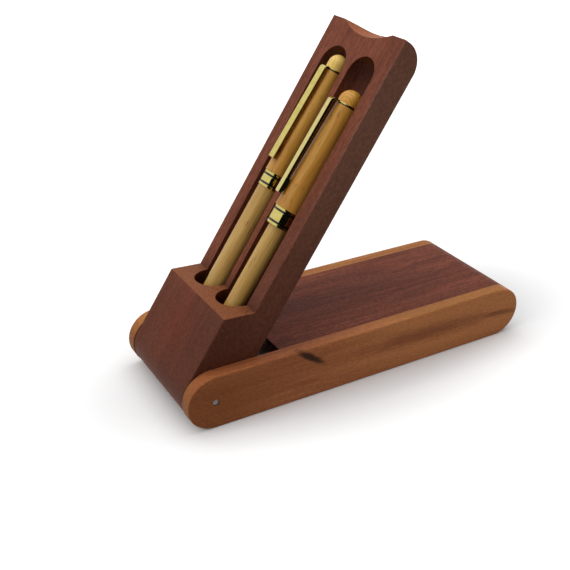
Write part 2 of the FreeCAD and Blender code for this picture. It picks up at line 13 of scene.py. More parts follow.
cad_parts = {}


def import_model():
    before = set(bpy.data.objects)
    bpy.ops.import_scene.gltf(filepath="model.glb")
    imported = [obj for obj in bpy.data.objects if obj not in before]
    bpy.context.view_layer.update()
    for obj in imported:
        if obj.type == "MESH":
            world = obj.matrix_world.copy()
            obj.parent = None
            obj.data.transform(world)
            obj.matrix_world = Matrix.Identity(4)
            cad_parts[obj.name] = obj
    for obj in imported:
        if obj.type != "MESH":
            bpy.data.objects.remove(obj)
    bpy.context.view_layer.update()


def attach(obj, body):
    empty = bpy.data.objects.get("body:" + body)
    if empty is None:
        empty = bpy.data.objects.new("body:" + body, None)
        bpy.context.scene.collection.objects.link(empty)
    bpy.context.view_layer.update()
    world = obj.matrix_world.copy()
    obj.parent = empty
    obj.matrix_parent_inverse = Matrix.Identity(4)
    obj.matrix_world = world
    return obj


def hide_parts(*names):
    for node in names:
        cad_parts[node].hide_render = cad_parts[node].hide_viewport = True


LOG = logging.getLogger("pen_case")
MM = 0.001
LEAN = math.radians(57.8)

Colour = tuple[float, float, float]
Place = tuple[float, float, float]
Span = tuple[float, float]
Stops = list[tuple[float, Colour]]
Node = bpy.types.Node

WHITE: Colour = (1.0, 1.0, 1.0)
UNMOVED: Place = (0.0, 0.0, 0.0)
EVEN: Place = (1.0, 1.0, 1.0)

SCREEN_TOP = 255
DARK_END = 0.04045
DARK_SLOPE = 12.92
CURVE_LIFT = 0.055
CURVE_POWER = 2.4


def tone(red: int, green: int, blue: int) -> Colour:
    """Turns a colour as seen on a screen, 0 to 255, into the linear colour that shaders use.

    Args:
        red: Red part.
        green: Green part.
        blue: Blue part.

    Returns:
        The linear colour.
    """

    def linear(level: int) -> float:
        """Undoes the screen's curve for one part.

        Args:
            level: The part, 0 to 255.

        Returns:
            Its linear strength, 0 to 1.
        """
        share = level / SCREEN_TOP
        if share <= DARK_END:
            return share / DARK_SLOPE
        return ((share + CURVE_LIFT) / (1.0 + CURVE_LIFT)) ** CURVE_POWER

    return linear(red), linear(green), linear(blue)


class Grain(Enum):
    """The turn about Y, in radians, that lays a wood's grain along a piece."""

    ALONG_CASE = 0.0
    ALONG_TRAY = LEAN


@dataclass(frozen=True)
class Layer:
    """A noise pattern: how it is stretched along and across the grain, its scale, finer layers and bend."""

    stretch: Place
    scale: float
    detail: float
    bend: float = 0.0


class Shader:
    """A material under construction, with short calls for its nodes."""

    MIX_SHARE: ClassVar[int] = 0
    MIX_BASE: ClassVar[int] = 6
    MIX_TOP: ClassVar[int] = 7
    MIX_RESULT: ClassVar[int] = 2
    NEW_STEP: ClassVar[float] = 0.5
    EDGE_SAMPLES: ClassVar[int] = 6
    EDGE_BEND: ClassVar[Span] = (0.985, 0.86)

    def __init__(self, name: str) -> None:
        """Starts an empty material with a principled surface.

        Args:
            name: The material's name.
        """
        self.material = bpy.data.materials.new(name)
        self.material.use_nodes = True
        self.tree = self.material.node_tree
        self.tree.nodes.clear()
        self.out = self.add("ShaderNodeOutputMaterial")
        self.surface = self.add("ShaderNodeBsdfPrincipled")
        self.link(self.surface, "BSDF", self.out, "Surface")

    def add(self, kind: str, **settings: object) -> Node:
        """Adds a node and sets its properties.

        Args:
            kind: The node's type.
            **settings: Properties to set on it.

        Returns:
            The node.
        """
        node = self.tree.nodes.new(kind)
        for name, value in settings.items():
            setattr(node, name, value)
        return node

    def link(self, source: Node, output: str | int, target: Node, socket: str | int) -> None:
        """Joins an output to an input."""
        self.tree.links.new(source.outputs[output], target.inputs[socket])

    def result(self, node: Node) -> int:
        """Gives the number of the output that holds a node's colour or value."""
        return self.MIX_RESULT if node.bl_idname == "ShaderNodeMix" else 0

    def coordinates(self, turn: float, stretch: Place, shift: Place) -> Node:
        """Gives object coordinates that are turned about Y, shifted and then stretched.

        Args:
            turn: The turn that lays the grain along the local X axis.
            stretch: Scale along the grain and across it.
            shift: Shift of the pattern, so that no two pieces match.

        Returns:
            The mapping node that holds them.
        """
        source = self.add("ShaderNodeTexCoord")
        turned = self.add("ShaderNodeMapping", vector_type="POINT")
        turned.inputs["Rotation"].default_value = (0.0, turn, 0.0)
        turned.inputs["Location"].default_value = shift
        scaled = self.add("ShaderNodeMapping", vector_type="POINT")
        scaled.inputs["Scale"].default_value = stretch
        self.link(source, "Object", turned, "Vector")
        self.link(turned, "Vector", scaled, "Vector")
        return scaled

    def noise(self, layer: Layer, turn: float, shift: Place) -> Node:
        """Adds a noise that follows the grain.

        Args:
            layer: The noise pattern.
            turn: The turn that lays the grain along the local X axis.
            shift: Shift of the pattern.

        Returns:
            The noise node.
        """
        node = self.add("ShaderNodeTexNoise")
        node.inputs["Scale"].default_value = layer.scale
        node.inputs["Detail"].default_value = layer.detail
        node.inputs["Distortion"].default_value = layer.bend
        self.link(self.coordinates(turn, layer.stretch, shift), "Vector", node, "Vector")
        return node

    def ramp(self, source: Node, stops: Stops, output: str | int = 0) -> Node:
        """Maps a value to colours.

        Args:
            source: The node that gives the value.
            stops: Places from 0 to 1 with their colours.
            output: The output of the source.

        Returns:
            The colour ramp.
        """
        node = self.add("ShaderNodeValToRGB")
        steps = node.color_ramp.elements
        while len(steps) < len(stops):
            steps.new(self.NEW_STEP)
        for step, (place, colour) in zip(steps, stops):
            step.position = place
            step.color = (*colour, 1.0)
        self.link(source, output, node, "Fac")
        return node

    def grey_ramp(self, source: Node, low: float, high: float, output: str | int = 0) -> Node:
        """Stretches a part of a value's range to the range 0 to 1, with soft ends.

        Args:
            source: The node that gives the value.
            low: The value that becomes 0.
            high: The value that becomes 1.
            output: The output of the source.

        Returns:
            The node with the stretched value.
        """
        node = self.add("ShaderNodeMapRange", interpolation_type="SMOOTHSTEP")
        node.inputs["From Min"].default_value = low
        node.inputs["From Max"].default_value = high
        self.link(source, output, node, "Value")
        return node

    def mix(self, share: Node | float, base: Node, top: Node | Colour, blend: str = "MIX") -> Node:
        """Mixes two colours.

        Args:
            share: How much of the top shows, as a node or a number.
            base: The colour below.
            top: The colour above, as a node or fixed.
            blend: Blender's name of the blend.

        Returns:
            The mix node.
        """
        node = self.add("ShaderNodeMix", data_type="RGBA", blend_type=blend)
        if isinstance(share, float):
            node.inputs[self.MIX_SHARE].default_value = share
        else:
            self.link(share, 0, node, self.MIX_SHARE)
        self.link(base, self.result(base), node, self.MIX_BASE)
        if isinstance(top, tuple):
            node.inputs[self.MIX_TOP].default_value = (*top, 1.0)
        else:
            self.link(top, self.result(top), node, self.MIX_TOP)
        return node

    def math(self, kind: str, first: Node, second: Node | float) -> Node:
        """Adds a sum, product or other calculation of two values.

        Args:
            kind: Blender's name of the calculation.
            first: The node that gives the first value.
            second: The second value, as a node or a number.

        Returns:
            The node with the outcome, kept between 0 and 1.
        """
        node = self.add("ShaderNodeMath", operation=kind, use_clamp=True)
        self.link(first, 0, node, 0)
        if isinstance(second, float):
            node.inputs[1].default_value = second
        else:
            self.link(second, 0, node, 1)
        return node

    def shelter(self, reach: float, samples: int, only_local: bool) -> Node:
        """Measures how open a place is.

        Args:
            reach: How far away a surface may be and still shelter the place.
            samples: Rays for each place.
            only_local: Whether only the piece itself counts.

        Returns:
            The node, whose output AO is 1 in the open and lower where the place is sheltered.
        """
        node = self.add("ShaderNodeAmbientOcclusion", samples=samples, only_local=only_local)
        node.inputs["Distance"].default_value = reach
        return node

    def vary_roughness(self, source: Node, at_low: float, at_high: float) -> None:
        """Lets the surface's roughness follow a value.

        Args:
            source: The node that gives the value.
            at_low: Roughness where the value is 0.
            at_high: Roughness where the value is 1.
        """
        node = self.add("ShaderNodeMapRange")
        node.inputs["To Min"].default_value = at_low
        node.inputs["To Max"].default_value = at_high
        self.link(source, 0, node, "Value")
        self.link(node, 0, self.surface, "Roughness")

    def bump(self, height: Node, depth: float, strength: float, over: Node | None = None) -> None:
        """Raises the surface's normal by a height value.

        Args:
            height: The node that gives the height.
            depth: Height of the relief in metres.
            strength: How much of it shows.
            over: A node whose normal is bent in place of the mesh's own.
        """
        node = self.add("ShaderNodeBump")
        node.inputs["Strength"].default_value = strength
        node.inputs["Distance"].default_value = depth
        self.link(height, 0, node, "Height")
        if over is not None:
            self.link(over, "Normal", node, "Normal")
        self.link(node, "Normal", self.surface, "Normal")

    def soft_edges(self, radius: float) -> tuple[Node, Node]:
        """Finds the edges of a piece.

        Args:
            radius: How far from an edge it counts as one.

        Returns:
            A node with the normal rounded over the edges, and one that is 1 on an edge and 0 away from it.
        """
        rounded = self.add("ShaderNodeBevel", samples=self.EDGE_SAMPLES)
        rounded.inputs["Radius"].default_value = radius
        flat = self.add("ShaderNodeNewGeometry")
        along = self.add("ShaderNodeVectorMath", operation="DOT_PRODUCT")
        self.link(rounded, "Normal", along, 0)
        self.link(flat, "Normal", along, 1)
        return rounded, self.grey_ramp(along, *self.EDGE_BEND, "Value")

    def colour(self, source: Node) -> None:
        """Gives the surface the colour of a node."""
        self.link(source, self.result(source), self.surface, "Base Color")

    def set(self, **values: object) -> None:
        """Sets constant values on the principled surface, with underscores for spaces in the names."""
        for name, value in values.items():
            self.surface.inputs[name.replace("_", " ")].default_value = value


@dataclass(frozen=True)
class Mark:
    """A darker or lighter place in a wood, such as a knot, a streak, a painted shade or a painted sheen.

    Attributes:
        centre: Where it is.
        reach: How far it goes along each axis.
        slant: Its turn about Y, in radians.
        colour: Its colour.
        strength: How much of the wood it covers.
        core: The part of its reach in which it is at its full strength.
        roughness: How ragged its outline is.
    """

    centre: Place
    reach: Place
    slant: float
    colour: Colour
    strength: float
    core: float = 0.2
    roughness: float = 0.6


@dataclass(frozen=True)
class WoodFinish:
    """A lacquered wood with growth figure, fine fibres, pores and end grain."""

    FIGURE_STRETCH: ClassVar[Place] = (0.07, 1.0, 1.0)
    FIGURE_PLACES: ClassVar[tuple[float, float, float]] = (0.30, 0.48, 0.70)
    FIBRES: ClassVar[Layer] = Layer((0.02, 1.0, 1.0), 1700.0, 2.0)
    FIBRE_SHADE: ClassVar[Stops] = [(0.30, (0.55, 0.50, 0.47)), (0.62, (1.12, 1.10, 1.08))]
    PORE_SCALE: ClassVar[float] = 1400.0
    PORE_LINES: ClassVar[Span] = (0.52, 0.62)
    DUST: ClassVar[Layer] = Layer((0.3, 1.0, 1.0), 1900.0, 1.0)
    DUST_SHADE: ClassVar[Stops] = [(0.36, (0.58, 0.56, 0.55)), (0.64, (1.34, 1.34, 1.33))]
    RAGGED: ClassVar[Layer] = Layer((0.1, 1.0, 1.0), 900.0, 3.0)
    END_TURN: ClassVar[Span] = (0.55, 0.95)
    END_PORES: ClassVar[Stops] = [(0.45, (1.06, 1.04, 1.02)), (0.72, (0.55, 0.5, 0.48))]
    # Painted shade for the hollows: darker where the piece shelters itself.
    HOLLOW_SHADE: ClassVar[Stops] = [(0.6, (0.16, 0.16, 0.16)), (0.96, WHITE)]
    HOLLOW_SHADE_SAMPLES: ClassVar[int] = 6
    RELIEF_DEPTH: ClassVar[float] = 0.06 * MM
    RELIEF_STRENGTH: ClassVar[float] = 0.35

    name: str
    light: Colour
    middle: Colour
    dark: Colour
    end_grain: Colour
    worn_edge: Colour
    grain: Grain = Grain.ALONG_CASE
    figure: float = 130.0
    shift: Place = UNMOVED
    fibre: float = 0.35
    pores: float = 0.3
    pore_stretch: float = 0.12
    speckle: float = 0.6
    roughness: Span = (0.42, 0.6)
    gloss: float = 0.1
    edge_radius: float = 0.5 * MM
    edge_wear: float = 0.5
    hollow_reach: float = 0.0
    marks: tuple[Mark, ...] = ()
    end_marks: tuple[Mark, ...] = ()

    def build(self) -> bpy.types.Material:
        """Makes the material.

        Returns:
            The finished material.
        """
        shader = Shader(self.name)
        turn = self.grain.value
        figure = shader.noise(Layer(self.FIGURE_STRETCH, self.figure, detail=3.0, bend=0.8), turn, self.shift)
        fibres = shader.noise(self.FIBRES, turn, self.shift)
        short = Layer((self.pore_stretch, 1.0, 1.0), self.PORE_SCALE, detail=2.0)
        pores = shader.noise(short, turn, self.shift)
        colour = shader.ramp(figure, list(zip(self.FIGURE_PLACES, (self.dark, self.middle, self.light))))
        colour = shader.mix(self.fibre, colour, shader.ramp(fibres, self.FIBRE_SHADE), "MULTIPLY")
        pore_share = shader.math("MULTIPLY", shader.grey_ramp(pores, *self.PORE_LINES), self.pores)
        colour = shader.mix(pore_share, colour, self.dark)
        for mark in self.marks:
            colour = self.draw_mark(shader, colour, mark, mark.colour)
        dust = shader.noise(self.DUST, turn, self.shift)
        colour = shader.mix(self.speckle, colour, shader.ramp(dust, self.DUST_SHADE), "MULTIPLY")
        colour = self.cover_ends(shader, colour, pores)
        # Painted shade in the routed hollows, darker where the piece shelters itself.
        if self.hollow_reach > 0.0:
            colour = self.paint_hollow_shade(shader, colour)
        rounded, edges = shader.soft_edges(self.edge_radius)
        colour = shader.mix(shader.math("MULTIPLY", edges, self.edge_wear), colour, self.worn_edge)
        shader.colour(colour)
        smooth, rough = self.roughness
        shader.vary_roughness(fibres, rough, smooth)
        height = shader.math("SUBTRACT", fibres, pore_share)
        shader.bump(height, self.RELIEF_DEPTH, self.RELIEF_STRENGTH, rounded)
        shader.set(Specular_IOR_Level=self.gloss)
        return shader.material

    def draw_mark(self, shader: Shader, colour: Node, mark: Mark, top: Node | Colour) -> Node:
        """Lays a soft patch over the wood.

        Args:
            shader: The material under construction.
            colour: The colour so far.
            mark: The patch.
            top: What shows inside the patch.

        Returns:
            The colour with the patch.
        """
        source = shader.add("ShaderNodeTexCoord")
        moved = shader.add("ShaderNodeMapping", vector_type="TEXTURE")
        moved.inputs["Location"].default_value = mark.centre
        moved.inputs["Rotation"].default_value = (0.0, mark.slant, 0.0)
        moved.inputs["Scale"].default_value = mark.reach
        shader.link(source, "Object", moved, "Vector")
        wobble = shader.noise(self.RAGGED, Grain.ALONG_CASE.value, mark.centre)
        length = shader.add("ShaderNodeVectorMath", operation="LENGTH")
        shader.link(moved, "Vector", length, 0)
        uneven = shader.add("ShaderNodeMath", operation="MULTIPLY_ADD")
        uneven.inputs[1].default_value = mark.roughness
        shader.link(wobble, 0, uneven, 0)
        shader.link(length, "Value", uneven, 2)
        usual = mark.roughness / 2
        near = shader.grey_ramp(uneven, 1.0 + usual, mark.core + usual)
        share = shader.math("MULTIPLY", near, mark.strength)
        return shader.mix(share, colour, top)

    def cover_ends(self, shader: Shader, colour: Node, pores: Node) -> Node:
        """Shows end grain where the surface stands across the fibres.

        Args:
            shader: The material under construction.
            colour: The colour of the long faces.
            pores: Noise for the cut pores.

        Returns:
            The colour with end grain.
        """
        source = shader.add("ShaderNodeTexCoord")
        along = shader.add("ShaderNodeVectorMath", operation="DOT_PRODUCT")
        along.inputs[1].default_value = (math.cos(self.grain.value), 0.0, math.sin(self.grain.value))
        shader.link(source, "Normal", along, 0)
        size = shader.add("ShaderNodeMath", operation="ABSOLUTE")
        shader.link(along, "Value", size, 0)
        share = shader.grey_ramp(size, *self.END_TURN)
        dots = shader.ramp(pores, self.END_PORES)
        end = shader.mix(1.0, dots, self.end_grain, "MULTIPLY")
        for mark in self.end_marks:
            end = self.draw_mark(shader, end, mark, shader.mix(1.0, dots, mark.colour, "MULTIPLY"))
        return shader.mix(share, colour, end)

    def paint_hollow_shade(self, shader: Shader, colour: Node) -> Node:
        """Paints shade into the routed hollows, darker where the piece itself shelters the surface.

        Args:
            shader: The material under construction.
            colour: The colour so far.

        Returns:
            The colour with the painted shade in the hollows.
        """
        shelter = shader.shelter(self.hollow_reach, self.HOLLOW_SHADE_SAMPLES, only_local=True)
        return shader.mix(1.0, colour, shader.ramp(shelter, self.HOLLOW_SHADE, "AO"), "MULTIPLY")


@dataclass(frozen=True)
class PenWoodFinish:
    """Glossy lacquered bamboo: long pale fibres with brown flecks along the pen."""

    CLOUDS: ClassVar[Layer] = Layer((0.12, 1.0, 1.0), 260.0, 3.0, 0.4)
    CLOUD_PLACES: ClassVar[Span] = (0.32, 0.66)
    FIBRES: ClassVar[Layer] = Layer((0.02, 1.0, 1.0), 2600.0, 2.0)
    FIBRE_SHADE: ClassVar[Stops] = [(0.30, (0.74, 0.68, 0.60)), (0.60, (1.06, 1.05, 1.04))]
    FIBRE_SHARE: ClassVar[float] = 0.55
    SPECKS: ClassVar[Layer] = Layer((0.16, 1.0, 1.0), 900.0, 1.0)
    SPECK_LEVELS: ClassVar[Span] = (0.66, 0.76)
    SPECK_SHARE: ClassVar[float] = 0.7
    RING_STRETCH: ClassVar[Place] = (0.6, 1.0, 1.0)
    RING_SCALE: ClassVar[float] = 300.0
    RING_WOBBLE: ClassVar[float] = 1.6
    RING_DETAIL: ClassVar[float] = 2.0
    RING_OUTPUT: ClassVar[int] = 1
    RING_LEVELS: ClassVar[Span] = (0.35, 0.9)
    CLIP_SHADE: ClassVar[Stops] = [(0.5, (0.86, 0.68, 0.52)), (0.98, WHITE)]
    CLIP_SAMPLES: ClassVar[int] = 8
    RELIEF_DEPTH: ClassVar[float] = 0.03 * MM
    RELIEF_STRENGTH: ClassVar[float] = 0.15

    name: str
    light: Colour
    dark: Colour
    fleck: Colour
    shift: Place = UNMOVED
    ring_centre: Place = UNMOVED
    rings: float = 0.0
    shade_reach: float = 0.0

    def build(self) -> bpy.types.Material:
        """Makes the material.

        Returns:
            The finished material.
        """
        shader = Shader(self.name)
        clouds = shader.noise(self.CLOUDS, LEAN, self.shift)
        fibres = shader.noise(self.FIBRES, LEAN, self.shift)
        specks = shader.noise(self.SPECKS, LEAN, self.shift)
        colour = shader.ramp(clouds, list(zip(self.CLOUD_PLACES, (self.dark, self.light))))
        colour = shader.mix(self.FIBRE_SHARE, colour, shader.ramp(fibres, self.FIBRE_SHADE), "MULTIPLY")
        fleck = shader.math("MULTIPLY", shader.grey_ramp(specks, *self.SPECK_LEVELS), self.SPECK_SHARE)
        colour = shader.mix(fleck, colour, self.fleck)
        if self.rings > 0.0:
            colour = self.draw_rings(shader, colour)
        # Painted shade on the lacquer under and beside the clip.
        if self.shade_reach > 0.0:
            colour = self.paint_clip_shade(shader, colour)
        shader.colour(colour)
        shader.bump(fibres, self.RELIEF_DEPTH, self.RELIEF_STRENGTH)
        shader.set(Roughness=0.45, Coat_Weight=0.5, Coat_Roughness=0.08, Specular_IOR_Level=0.15)
        return shader.material

    def paint_clip_shade(self, shader: Shader, colour: Node) -> Node:
        """Paints shade onto the lacquer under and beside the clip, darker where the clip shelters it.

        Args:
            shader: The material under construction.
            colour: The colour so far.

        Returns:
            The colour with the painted shade.
        """
        shelter = shader.shelter(self.shade_reach, self.CLIP_SAMPLES, only_local=False)
        return shader.mix(1.0, colour, shader.ramp(shelter, self.CLIP_SHADE, "AO"), "MULTIPLY")

    def draw_rings(self, shader: Shader, colour: Node) -> Node:
        """Lays the curved growth lines over a turned dome.

        Args:
            shader: The material under construction.
            colour: The colour so far.

        Returns:
            The colour with the lines.
        """
        where = shader.coordinates(LEAN, self.RING_STRETCH, self.ring_centre)
        lines = shader.add("ShaderNodeTexWave", wave_type="RINGS", rings_direction="SPHERICAL")
        lines.inputs["Scale"].default_value = self.RING_SCALE
        lines.inputs["Distortion"].default_value = self.RING_WOBBLE
        lines.inputs["Detail"].default_value = self.RING_DETAIL
        shader.link(where, "Vector", lines, "Vector")
        level = shader.grey_ramp(lines, *self.RING_LEVELS, self.RING_OUTPUT)
        return shader.mix(shader.math("MULTIPLY", level, self.rings), colour, self.fleck)


@dataclass(frozen=True)
class MetalFinish:
    """A metal with a fine uneven polish."""

    TINT_PLACES: ClassVar[Span] = (0.35, 0.65)
    SHIFT: ClassVar[Place] = (0.013, 0.007, 0.003)
    DETAIL: ClassVar[float] = 3.0
    RELIEF_DEPTH: ClassVar[float] = 0.02 * MM

    name: str
    colour: Colour
    tint: Colour
    roughness: Span
    brush: Place = EVEN
    turn: float = 0.0
    scale: float = 700.0
    relief: float = 0.015

    def build(self) -> bpy.types.Material:
        """Makes the material.

        Returns:
            The finished material.
        """
        shader = Shader(self.name)
        polish = shader.noise(Layer(self.brush, self.scale, self.DETAIL), self.turn, self.SHIFT)
        shader.colour(shader.ramp(polish, list(zip(self.TINT_PLACES, (self.tint, self.colour)))))
        shader.vary_roughness(polish, *self.roughness)
        shader.bump(polish, self.RELIEF_DEPTH, self.relief)
        shader.set(Metallic=1.0)
        return shader.material


@dataclass(frozen=True)
class GlossFinish:
    """Enamel or moulded plastic with a faint unevenness."""

    CLOUD: ClassVar[Layer] = Layer(EVEN, 420.0, 4.0)
    CLOUD_PLACES: ClassVar[Span] = (0.45, 0.85)
    SHIFT: ClassVar[Place] = (0.021, 0.004, 0.009)
    RELIEF_DEPTH: ClassVar[float] = 0.02 * MM
    RELIEF_STRENGTH: ClassVar[float] = 0.08

    name: str
    colour: Colour
    worn: Colour
    roughness: Span
    coat: float

    def build(self) -> bpy.types.Material:
        """Makes the material.

        Returns:
            The finished material.
        """
        shader = Shader(self.name)
        cloud = shader.noise(self.CLOUD, 0.0, self.SHIFT)
        shader.colour(shader.ramp(cloud, list(zip(self.CLOUD_PLACES, (self.colour, self.worn)))))
        shader.vary_roughness(cloud, *self.roughness)
        shader.bump(cloud, self.RELIEF_DEPTH, self.RELIEF_STRENGTH)
        shader.set(Coat_Weight=self.coat, Coat_Roughness=0.05)
        return shader.material


def paint(names: Sequence[str], finish: bpy.types.Material) -> None:
    """Gives CAD nodes a finish.

    Args:
        names: The nodes' names.
        finish: The material.
    """
    for name in names:
        node = bpy.data.objects[name]
        node.data.materials.clear()
        node.data.materials.append(finish)
        LOG.info("painted %s with %s", name, finish.name)


@dataclass(frozen=True)
class Rounding:
    """How the sharp edges of a small piece are rounded: the width, and the number of steps across it."""

    MERGE_GAP: ClassVar[float] = 0.002 * MM
    FLAT_ANGLE: ClassVar[float] = math.radians(1.0)
    SHARP_ANGLE: ClassVar[float] = math.radians(40.0)
    SMOOTH_ANGLE: ClassVar[float] = math.radians(35.0)
    FACE_WEIGHT: ClassVar[int] = 100

    width: float
    segments: int

    def clean(self) -> None:
        """Merges the loose triangles of the active piece and joins those that lie in one plane."""
        bpy.ops.object.mode_set(mode="EDIT")
        bpy.ops.mesh.select_all(action="SELECT")
        bpy.ops.mesh.remove_doubles(threshold=self.MERGE_GAP)
        bpy.ops.mesh.customdata_custom_splitnormals_clear()
        bpy.ops.mesh.dissolve_limited(angle_limit=self.FLAT_ANGLE)
        bpy.ops.mesh.normals_make_consistent(inside=False)
        bpy.ops.object.mode_set(mode="OBJECT")

    def bevel(self, piece: bpy.types.Object) -> None:
        """Rounds the edges of the active piece and keeps its broad faces flat in the light.

        Args:
            piece: The active piece.
        """
        rounding = piece.modifiers.new("rounding", "BEVEL")
        rounding.width = self.width
        rounding.segments = self.segments
        rounding.limit_method = "ANGLE"
        rounding.angle_limit = self.SHARP_ANGLE
        rounding.use_clamp_overlap = True
        bpy.ops.object.modifier_apply(modifier=rounding.name)
        bpy.ops.object.shade_smooth_by_angle(angle=self.SMOOTH_ANGLE)
        flat_faces = piece.modifiers.new("flat_faces", "WEIGHTED_NORMAL")
        flat_faces.weight = self.FACE_WEIGHT
        flat_faces.keep_sharp = True
        bpy.ops.object.modifier_apply(modifier=flat_faces.name)


def rounded_copy(node: str, body: str, rounding: Rounding) -> None:
    """Makes a copy of a CAD node whose sharp edges are rounded, and lets it stand for the node.

    Args:
        node: The CAD node.
        body: The body that it rides on.
        rounding: How its edges are rounded.
    """
    bpy.ops.object.select_all(action="DESELECT")
    source = bpy.data.objects[node]
    source.select_set(True)
    bpy.context.view_layer.objects.active = source
    bpy.ops.object.duplicate()
    piece = bpy.context.view_layer.objects.active
    piece.name = node + "_rounded"
    piece.data.name = piece.name
    for key in list(piece.keys()):
        del piece[key]
    rounding.clean()
    rounding.bevel(piece)
    piece.parent = None
    piece.matrix_world = Matrix.Identity(4)
    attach(piece, body)
    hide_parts(node)
    LOG.info("rounded %s", piece.name)


@dataclass
class Shell:
    """The two cheeks, the panel between them and the pivot pins."""

    pins: tuple[str, ...] = ("front_pivot_pin", "back_pivot_pin")
    knot: Mark = Mark(
        centre=(-0.0305, -0.0306, 0.0198), reach=(0.0115, 0.006, 0.0022), slant=0.60,
        colour=tone(46, 25, 17), strength=0.92, core=0.35, roughness=0.6)
    pale_end: Mark = Mark(
        centre=(0.055, -0.0306, 0.0200), reach=(0.100, 0.012, 0.034), slant=0.0,
        colour=tone(206, 135, 82), strength=0.7, core=0.25, roughness=0.2)
    amber_top: Mark = Mark(
        centre=(0.055, -0.0272, 0.0250), reach=(0.060, 0.010, 0.0012), slant=0.0,
        colour=tone(154, 104, 53), strength=0.6, core=0.55, roughness=0.1)
    heart_streak: Mark = Mark(
        centre=(0.034, -0.0306, 0.0137), reach=(0.062, 0.006, 0.0058), slant=0.025,
        colour=tone(110, 50, 36), strength=0.6, core=0.1, roughness=0.9)
    end_streak: Mark = Mark(
        centre=(0.078, -0.0306, 0.0120), reach=(0.018, 0.006, 0.0020), slant=0.10,
        colour=tone(84, 36, 26), strength=0.5)
    # Painted shade: the left end of the front cheek is darker, standing in for shade from a case in front of
    # it.
    dark_end: Mark = Mark(
        centre=(-0.092, -0.0306, 0.010), reach=(0.055, 0.012, 0.030), slant=0.0,
        colour=tone(134, 76, 40), strength=0.7, core=0.3, roughness=0.2)
    dark_middle: Mark = Mark(
        centre=(-0.005, 0.002, 0.0246), reach=(0.085, 0.012, 0.01), slant=0.0,
        colour=tone(82, 48, 42), strength=0.6)

    def dress(self) -> None:
        """Gives the shell its woods and steel."""
        honey = dict(end_grain=tone(158, 100, 58), worn_edge=tone(200, 140, 80), figure=95.0, pores=0.35,
                     fibre=0.3, pore_stretch=0.06, speckle=0.3, edge_radius=0.3 * MM)
        front = WoodFinish(
            "honey_wood_front", light=tone(186, 119, 75), middle=tone(172, 105, 65), dark=tone(148, 85, 52),
            **honey, shift=(0.11, 0.02, 0.05),
            marks=(self.dark_end, self.pale_end, self.amber_top, self.heart_streak, self.end_streak,
                   self.knot))
        back = WoodFinish(
            "honey_wood_back", light=tone(194, 133, 78), middle=tone(180, 119, 68), dark=tone(156, 96, 54),
            **honey, shift=(0.57, 0.31, 0.22))
        paint(["front_cheek"], front.build())
        paint(["back_cheek"], back.build())
        panel = WoodFinish(
            "rosewood_panel", light=tone(135, 77, 59), middle=tone(125, 69, 53), dark=tone(98, 55, 44),
            end_grain=tone(100, 54, 42), worn_edge=tone(132, 76, 58), figure=150.0, shift=(0.3, 0.4, 0.1),
            fibre=0.35, pores=0.6, pore_stretch=0.07, gloss=0.06, edge_radius=0.3 * MM, edge_wear=0.15,
            marks=(self.dark_middle,))
        paint(["top_panel"], panel.build())
        steel = MetalFinish(
            "pin_steel", tone(150, 150, 152), tone(110, 110, 112), roughness=(0.3, 0.5),
            brush=(8.0, 0.3, 8.0))
        paint(self.pins, steel.build())


@dataclass
class Tray:
    """The swinging tray and the oval plate on its back."""

    block: str = "pen_tray"
    plate: str = "name_plate"
    # Painted sheen: a greyish reflection over the upper part of the tray's near side.
    side_sheen: Mark = Mark(
        centre=(0.0, -0.0262, 0.120), reach=(0.120, 0.0032, 0.100), slant=0.0,
        colour=tone(128, 90, 74), strength=0.9, core=0.3, roughness=0.1)
    red_heart: Mark = Mark(
        centre=(-0.0768, 0.002, 0.0322), reach=(0.013, 0.016, 0.020), slant=0.4,
        colour=tone(136, 66, 46), strength=0.6, core=0.2, roughness=0.8)
    dark_rim: Mark = Mark(
        centre=(-0.0645, -0.021, 0.0292), reach=(0.130, 0.010, 0.130), slant=0.0,
        colour=tone(98, 58, 44), strength=0.7, core=0.3, roughness=0.1)
    pale_notch: Mark = Mark(
        centre=(0.0075, 0.004, 0.1435), reach=(0.016, 0.024, 0.016), slant=0.0,
        colour=tone(162, 93, 51), strength=0.9, core=0.6, roughness=0.1)
    # Painted shade: the heel block at the low end of the tray is darker.
    shaded_heel: Mark = Mark(
        centre=(-0.080, 0.0, 0.016), reach=(0.050, 0.2, 0.050), slant=0.0,
        colour=tone(82, 40, 26), strength=0.6, core=0.4, roughness=0.2)

    def dress(self) -> None:
        """Gives the tray its wood and the plate its satin metal."""
        # Painted shade: hollow_reach darkens the slots and hollows where the tray shelters itself.
        wood = WoodFinish(
            "rosewood_tray", light=tone(130, 74, 55), middle=tone(124, 70, 51), dark=tone(98, 54, 40),
            end_grain=tone(136, 81, 50), worn_edge=tone(150, 92, 62), grain=Grain.ALONG_TRAY, figure=110.0,
            shift=(0.21, 0.13, 0.44), fibre=0.3, pores=0.5, edge_radius=0.4 * MM, hollow_reach=14.0 * MM,
            speckle=0.45, marks=(self.red_heart, self.dark_rim, self.shaded_heel, self.side_sheen),
            end_marks=(self.pale_notch,))
        paint([self.block], wood.build())
        satin = MetalFinish(
            "pale_metal", tone(206, 203, 212), tone(190, 188, 198), roughness=(0.3, 0.42),
            brush=(0.02, 1.0, 1.0), turn=LEAN, scale=2200.0, relief=0.12)
        paint([self.plate], satin.build())


